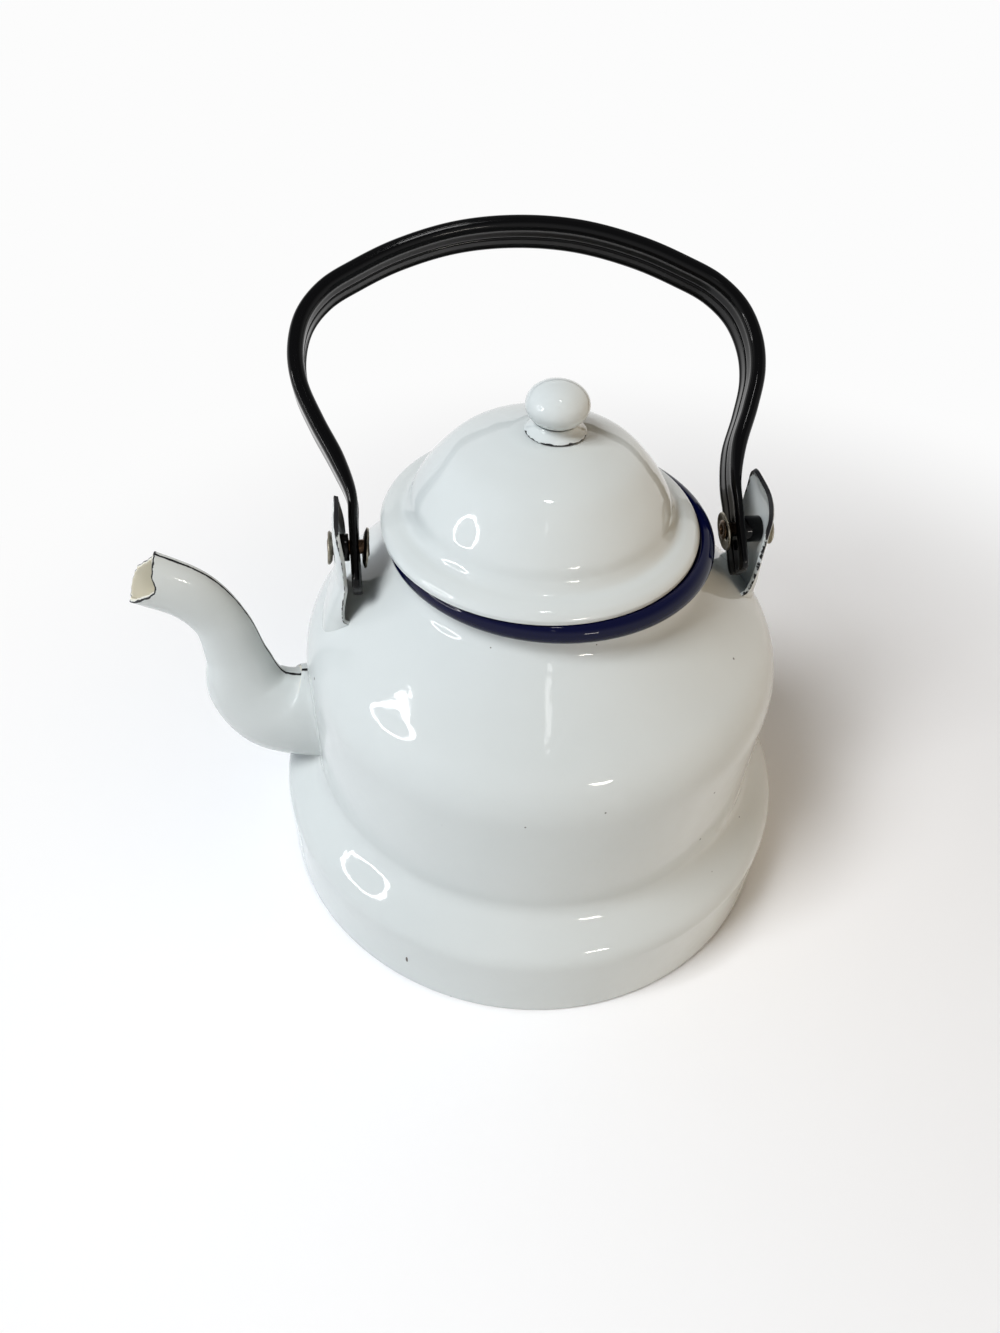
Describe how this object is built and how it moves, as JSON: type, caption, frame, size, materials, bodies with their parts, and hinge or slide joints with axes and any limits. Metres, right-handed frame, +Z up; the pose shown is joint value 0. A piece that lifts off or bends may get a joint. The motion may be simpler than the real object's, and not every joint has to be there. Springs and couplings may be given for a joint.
{
  "type": "tea kettle",
  "caption": "Enamelled stove-top tea kettle with a stepped base, swan-neck spout, swinging bail handle and lift-off domed lid.",
  "frame": {"origin": "middle of the base, on the table", "axes": "+Z up, the spout towards -X, the bail's pivot line along X with the bail leaning back to +Y at rest"},
  "size_m": [0.2101, 0.174, 0.1901],
  "materials": {
    "enamel_white": "glossy white vitreous enamel with small specks and chips",
    "enamel_blue": "glossy dark blue vitreous enamel",
    "enamel_black": "glossy black enamel",
    "aged_steel": "dulled and slightly stained steel",
    "copper_shank": "dull copper-brown rivet metal"
  },
  "bodies": {
    "kettle": {"body_shell": "enamel_white", "base_pan": "enamel_white", "neck_ring": "enamel_blue", "spout_front_half": "enamel_white", "spout_back_half": "enamel_white", "ear_spout_side": "enamel_white", "ear_back_side": "enamel_white", "outer_washer_spout_side": "aged_steel", "outer_washer_back_side": "aged_steel", "spacer_spout_side": "enamel_black", "spacer_back_side": "enamel_black", "inner_washer_spout_side": "aged_steel", "inner_washer_back_side": "aged_steel", "rivet_spout_side": "copper_shank", "rivet_back_side": "copper_shank"},
    "bail": {"bail": "enamel_black"},
    "lid": {"lid_shell": "enamel_white", "lid_collar": "enamel_white", "knob_foot": "enamel_white", "lid_knob": "enamel_white", "knob_washer": "aged_steel", "knob_rivet": "aged_steel"}
  },
  "joints": [
    {"name": "bail_swing", "type": "hinge", "parent": "kettle", "child": "bail", "pos_m": [0, 0, 0.123], "axis": [1, 0, 0], "range_deg": [-60, 160]},
    {"name": "lid_lift", "type": "slide", "parent": "kettle", "child": "lid", "axis": [0, 0, 1], "range_m": [0, 0.04]}
  ]
}
